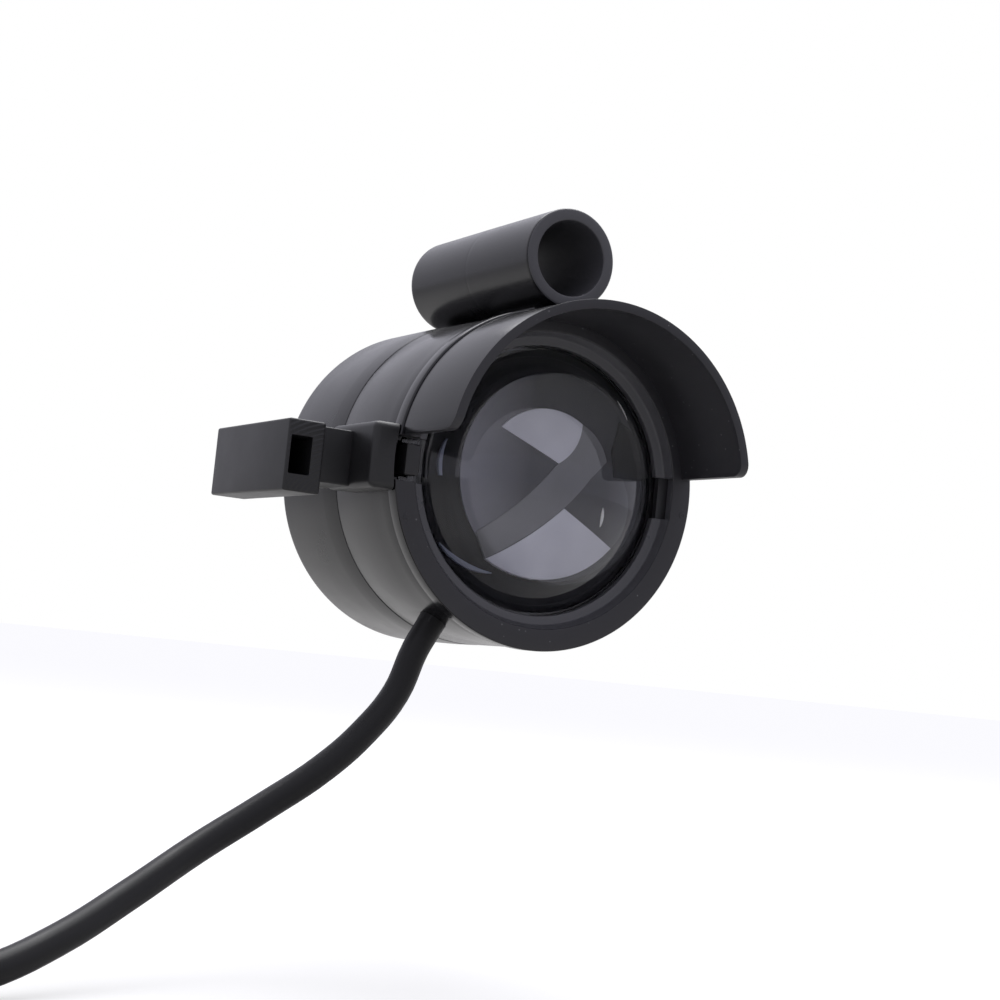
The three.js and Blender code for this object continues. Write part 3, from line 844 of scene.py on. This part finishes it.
def bezel_and_hood():
    """The front ring with its sloping lip, notches for both latches, and the hood."""
    back = LENS_FRONT - 0.1
    ring = lathe("bezel_ring_hood", rounded([
        (BEZEL_RADIUS, 0, 0.35), (LIP_EDGE, 0, 0.35), (30.5, 2.3, 0.7), (LIP_RADIUS, 2.6, 0.35),
        (LIP_RADIUS, back, 0.1), (LENS_RADIUS, back, 0), (LENS_RADIUS, BEZEL_BACK, 0),
        (BEZEL_RADIUS, BEZEL_BACK, 0.2),
    ], 3), segments=FINE)
    combine(ring, hood_shell(), "UNION")
    left, right = (-NOTCH, NOTCH), (-RIGHT_NOTCH, RIGHT_NOTCH)
    for x, y, z in (
        ((-38, -26), (-1, 5), left),
        ((26, RIGHT_NOTCH_EDGE), (-1, 5), right),
        ((RIGHT_NOTCH_EDGE - 0.3, 35), (POCKET, 5), right),
    ):
        combine(ring, block("cutter", x, y, z), "DIFFERENCE")
    for x, z in EJECTOR_MARKS:
        combine(ring, ejector_mark(x, z), "UNION")
    smooth(ring)
    complete(ring, BEZEL_FACE, "bezel", ("bezel_hood",))

    def outside(centre, normal):
        spoke = Vector((centre.x, 0, centre.z))
        return spoke.length > BEZEL_RADIUS - 0.8 and normal.dot(spoke.normalized()) > 0.7

    def lip(centre, normal):
        return math.hypot(centre.x, centre.z) < LIP_EDGE - 0.1

    refinish(ring, HOUSING, outside)
    # The lip takes the lighter plastic, a painted sheen.
    refinish(ring, LIP_PAINTED_SHEEN, lip)


bezel_and_hood()


# ---- lens, latches and gland ----
def lens():
    """The domed lens on its thin flange, which is slotted for the latches."""
    sphere = (DOME_RADIUS ** 2 + DOME_RISE ** 2) / (2 * DOME_RISE)
    opening = math.asin(DOME_RADIUS / sphere)
    outline = []
    steps = 44
    for k in range(steps + 1):
        a = opening * k / steps
        outline.append((sphere * math.sin(a), LENS_FRONT - DOME_RISE + sphere * (1 - math.cos(a))))
    outline += [(LENS_RADIUS, LENS_FRONT), (LENS_RADIUS, LENS_BACK), (0, LENS_BACK)]
    piece = lathe("lens_dome", outline, segments=288)
    clear = LATCH_HALF + 0.3
    for edges in ((-36, -30.9), (30.9, 36)):
        combine(piece, block("cutter", edges, (0, 9), (-clear, clear)), "DIFFERENCE")
    smooth(piece)
    return complete(piece, LENS, "lamp", ("lens",))


def latch(name, side):
    """A snap finger with its hook in front of the lens flange. The right one has a wide nose."""
    tip = 1.2 if side < 0 else POCKET + 0.3
    root, hook_back = 16, LENS_FRONT - 0.3
    width = (-LATCH_HALF, LATCH_HALF)
    finger = block(name, sorted((side * 33.2, side * 31.4)), (tip, root), width, 0.25)
    if side < 0:
        hooks = [block("hook", (-33, -29.9), (tip, hook_back), width, 0.4)]
    else:
        nose = RIGHT_NOTCH - 0.02
        hooks = [
            block("hook", (30.5, 33), (tip, hook_back), width, 0.2),
            block("nose", (28.9, 32.8), (tip, hook_back - 0.2), (-nose, nose)),
        ]
    for hook in hooks:
        combine(finger, hook, "UNION")
    smooth(finger)
    body = "latch_left" if side < 0 else "latch_right"
    return complete(finger, LATCH, body, (body,))


def gland():
    """The sleeve that grips the cable behind the barrel's wall."""
    bore = CABLE_RADIUS + 0.02
    outline = rounded([
        (bore, GLAND_START, 0.05), (GLAND_RADIUS, GLAND_START, 0.3),
        (GLAND_RADIUS, GLAND_END, 0.3), (bore, GLAND_END, 0.05),
    ], 4)
    piece = lathe("cable_gland_sleeve", outline, segments=48)
    aim(piece, (0, EXIT_Y, 0), cable_direction())
    return complete(smooth(piece), PLUG_RUBBER, "lamp", ("cable_gland",))


# ---- what shows through the lens, painted: a dark disc of painted shade with pale wedges and a grey bar of painted reflection across it ----
DISC_FACE = LENS_BACK + 1.3      # depth of the disc's face
FILM_GAP = 0.02                  # a figure's back stands this far off the disc


def arc_through(a, b, c, steps=14):
    """Points from a to c on the circle that passes through a, b and c."""
    (ax, ay), (bx, by), (cx, cy) = a, b, c
    d = 2 * (ax * (by - cy) + bx * (cy - ay) + cx * (ay - by))
    aa, bb, cc = ax * ax + ay * ay, bx * bx + by * by, cx * cx + cy * cy
    ox = (aa * (by - cy) + bb * (cy - ay) + cc * (ay - by)) / d
    oy = (aa * (cx - bx) + bb * (ax - cx) + cc * (bx - ax)) / d
    first, middle, last = (math.atan2(p[1] - oy, p[0] - ox) for p in (a, b, c))
    full = 2 * math.pi
    sweep = (last - first) % full
    if (middle - first) % full > sweep:
        sweep -= full
    radius = math.hypot(ax - ox, ay - oy)
    angles = [first + sweep * k / steps for k in range(steps + 1)]
    return [(ox + radius * math.cos(a), oy + radius * math.sin(a)) for a in angles]


def aperture_shade_disc():
    """A disc of painted shade behind the lens, with a field of painted reflection that pales
    towards the left.
    """
    disc = lathe("aperture_shade_disc", [
        (0, DISC_FACE), (28.3, DISC_FACE), (28.3, DISC_FACE + 0.7), (0, DISC_FACE + 0.7),
    ], segments=96)
    complete(smooth(disc), APERTURE_PAINTED_SHADE, "lamp")
    low, high = DISC_FACE - 0.15, DISC_FACE - FILM_GAP
    field = cylinder("aperture_painted_field", 20, low, high, (3.6, 0, 1.2), 96)
    complete(smooth(field), APERTURE_PAINTED_FIELD, "lamp")


def film(name, outline, material, proud):
    """A thin flat figure in front of the disc; proud is how far its face stands off."""
    piece = slab(name, outline, DISC_FACE - proud, DISC_FACE - FILM_GAP)
    complete(smooth(piece), material, "lamp")


def aperture_painted_figures():
    """Painted reflections (two pale wedges, the bar between them and the grey right side) and a
    dark patch of painted shade.
    """
    top_left, top_right, top_tip = (-8.8, 9.0), (7.7, 11.4), (3.4, 3.6)
    low_left, low_right, low_tip = (-9.2, -16.2), (17.1, -10.7), (5.5, -4.4)
    bar_left, bar_right, bar_waist = (-11.8, -11.2), (13.4, 5.2), (10.2, 1.6)
    tip_to_corner = arc_through(top_right, (6.6, 7.1), top_tip)
    film("aperture_wedge_upper",
         arc_through(top_left, (-0.5, 13.4), top_right) + tip_to_corner[1:],
         APERTURE_PAINTED_REFLECTION, 0.45)
    film("aperture_wedge_lower",
         arc_through(low_left, (-1.3, -10.6), low_tip)
         + arc_through(low_right, (3.6, -18.5), low_left)[:-1],
         APERTURE_PAINTED_REFLECTION, 0.45)
    film("aperture_bar",
         arc_through(bar_left, (-4.6, -5.4), top_tip)
         + arc_through(top_tip, (6.6, 7.1), top_right)[1:]
         + arc_through(top_right, (11.6, 8.6), bar_right)[1:]
         + arc_through(bar_waist, (5.7, -4.1), (-1.3, -10.4)) + [low_left],
         APERTURE_PAINTED_GREY_REFLECTION, 0.3)
    film("aperture_side",
         [low_tip, bar_waist, bar_right] + arc_through(bar_right, (18.4, 1.2), low_right),
         APERTURE_PAINTED_DIM_REFLECTION, 0.2)
    film("aperture_shade_patch",
         [(15.2, 2.5), (23.6, 3.0)] + arc_through((23.4, 3.4), (20.6, 11.8), (16.3, 13.4))
         + [(14.3, 7.5)],
         APERTURE_PAINTED_SHADE, 0.55)


def glint(name, outer, inner, material, proud):
    """A painted highlight: a thin crescent between two arcs, each given by three points."""
    film(name, arc_through(*outer) + arc_through(*inner), material, proud)


def aperture_glints():
    """Painted highlights: slivers of light near the lens edge."""
    glint("aperture_glint_low", ((-19.6, -14.9), (-15.7, -17.9), (-7.4, -18.9)),
          ((-7.5, -18.8), (-15.2, -17.0), (-19.5, -14.8)), APERTURE_PAINTED_SOFT_HIGHLIGHT, 0.3)
    glint("aperture_glint_left", ((-20.1, 5.6), (-21.4, 2.2), (-20.9, -1.6)),
          ((-20.3, -1.6), (-20.6, 2.2), (-20, 5.5)), APERTURE_PAINTED_SOFT_HIGHLIGHT, 0.3)
    glint("aperture_glint_right", ((13.6, -3.2), (14, -5), (13.6, -6.8)),
          ((13.5, -6.7), (13.4, -5), (13.5, -3.3)), APERTURE_PAINTED_HIGHLIGHT, 0.5)
    glint("aperture_glint_upper", ((16.7, 18.2), (18, 16.8), (18.9, 14.6)),
          ((18.8, 14.5), (17.6, 16.5), (16.6, 18.1)), APERTURE_PAINTED_HIGHLIGHT, 0.5)


lens()
aperture_shade_disc()
aperture_painted_figures()
aperture_glints()
latch("latch_finger_left", -1)
latch("latch_finger_right", 1)
gland()


# ---- CAD nodes that keep their shape ----
def dress(material, *names):
    """Puts a material on CAD nodes."""
    for name in names:
        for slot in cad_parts[name].material_slots:
            slot.material = material


dress(SILICONE, "seam_o_ring", "lens_gasket")
dress(MIRROR, "reflector")
dress(BOARD_WHITE, "led_board")
dress(PHOSPHOR, "led_emitter")
dress(ALUMINIUM, "heat_sink")
dress(STEEL, "heat_sink_screw_1", "heat_sink_screw_2", "heat_sink_screw_3", "capacitor")
dress(BOARD_GREEN, "driver_board")
dress(HOUSING, "rectifier")
dress(PLUG_RUBBER, "inductor", "cable_tail", "led_wire_black")
dress(BRASS, "cable_stop_ring")
dress(WIRE_BROWN, "supply_wire_brown")
dress(WIRE_BLUE, "supply_wire_blue")
dress(WIRE_RED, "led_wire_red")


# ---- floor, light and background ----
def pale_floor():
    """A white floor. It mirrors less light back at the lamp than it shows, like a matt backdrop."""
    material, nodes, links, shader = new_material("floor_pale")
    mottle = noise(nodes, links, 3, 2)
    links.new(blend_colours(nodes, links, mottle, (0.45, 0.445, 0.42), (0.49, 0.485, 0.46)),
              shader.inputs["Base Color"])
    shader.inputs["Roughness"].default_value = 0.9
    matt = add_node(nodes, "ShaderNodeBsdfDiffuse", Color=(0.4, 0.4, 0.4, 1))
    glow = add_node(nodes, "ShaderNodeEmission", Color=(1, 1, 1, 1), Strength=0.63)
    seen = nodes.new("ShaderNodeAddShader")
    links.new(matt.outputs[0], seen.inputs[0])
    links.new(glow.outputs[0], seen.inputs[1])
    rays = nodes.new("ShaderNodeLightPath")
    mix = nodes.new("ShaderNodeMixShader")
    links.new(rays.outputs["Is Camera Ray"], mix.inputs[0])
    links.new(shader.outputs["BSDF"], mix.inputs[1])
    links.new(seen.outputs[0], mix.inputs[2])
    links.new(mix.outputs["Shader"], nodes["Material Output"].inputs["Surface"])
    bm = bmesh.new()
    reach = 9000                 # mm, far past what any view shows
    corners = [(-reach, -reach), (reach, -reach), (reach, reach), (-reach, reach)]
    bm.faces.new([bm.verts.new(place(x, y, FLOOR)) for x, y in corners])
    floor = from_bmesh("floor", bm)
    floor.data.materials.append(material)


def area_light(name, azimuth, elevation, distance, size, power):
    """A softbox aimed at the lamp. Azimuth 0 is in front of the lens, 90 is towards +X."""
    a, e = math.radians(azimuth), math.radians(elevation)
    away = Vector((math.sin(a) * math.cos(e), -math.cos(a) * math.cos(e), math.sin(e)))
    light = bpy.data.lights.new(name, "AREA")
    light.shape = "RECTANGLE"
    light.size, light.size_y = size
    light.energy = power
    box = bpy.data.objects.new(name, light)
    box.location = LAMP + away * distance
    box.rotation_mode = "QUATERNION"
    box.rotation_quaternion = (-away).to_track_quat("-Z", "Y")
    bpy.context.scene.collection.objects.link(box)


def studio():
    """A white room, dimmer in front of the lamp than behind it, and one softbox overhead."""
    world = bpy.data.worlds.new("studio")
    bpy.context.scene.world = world
    world.use_nodes = True
    nodes, links = world.node_tree.nodes, world.node_tree.links
    where = nodes.new("ShaderNodeTexCoord")
    split = nodes.new("ShaderNodeSeparateXYZ")
    links.new(where.outputs["Generated"], split.inputs[0])
    above = remap(nodes, links, split.outputs["Z"], 0.1, 0.9, 0, 0.45)
    behind = remap(nodes, links, split.outputs["Y"], -0.9, 0.3, 0.5, 0.66)
    total = add_node(nodes, "ShaderNodeMath", operation="ADD")
    links.new(above, total.inputs[0])
    links.new(behind, total.inputs[1])
    room = nodes["Background"]
    links.new(total.outputs[0], room.inputs["Strength"])
    room.inputs["Color"].default_value = (0.9, 0.895, 1, 1)
    backdrop = add_node(nodes, "ShaderNodeBackground", Color=(1, 1, 1, 1), Strength=1.0)
    rays = nodes.new("ShaderNodeLightPath")
    mix = nodes.new("ShaderNodeMixShader")
    links.new(rays.outputs["Is Camera Ray"], mix.inputs[0])
    links.new(room.outputs[0], mix.inputs[1])
    links.new(backdrop.outputs[0], mix.inputs[2])
    links.new(mix.outputs[0], nodes["World Output"].inputs["Surface"])
    area_light("overhead", 150, 68, 0.9, (0.8, 0.8), 8)
    scene = bpy.context.scene
    scene.view_settings.view_transform = "Standard"
    scene.cycles.use_denoising = True
    scene.cycles.max_bounces = 16
    scene.cycles.transmission_bounces = 12


pale_floor()
studio()
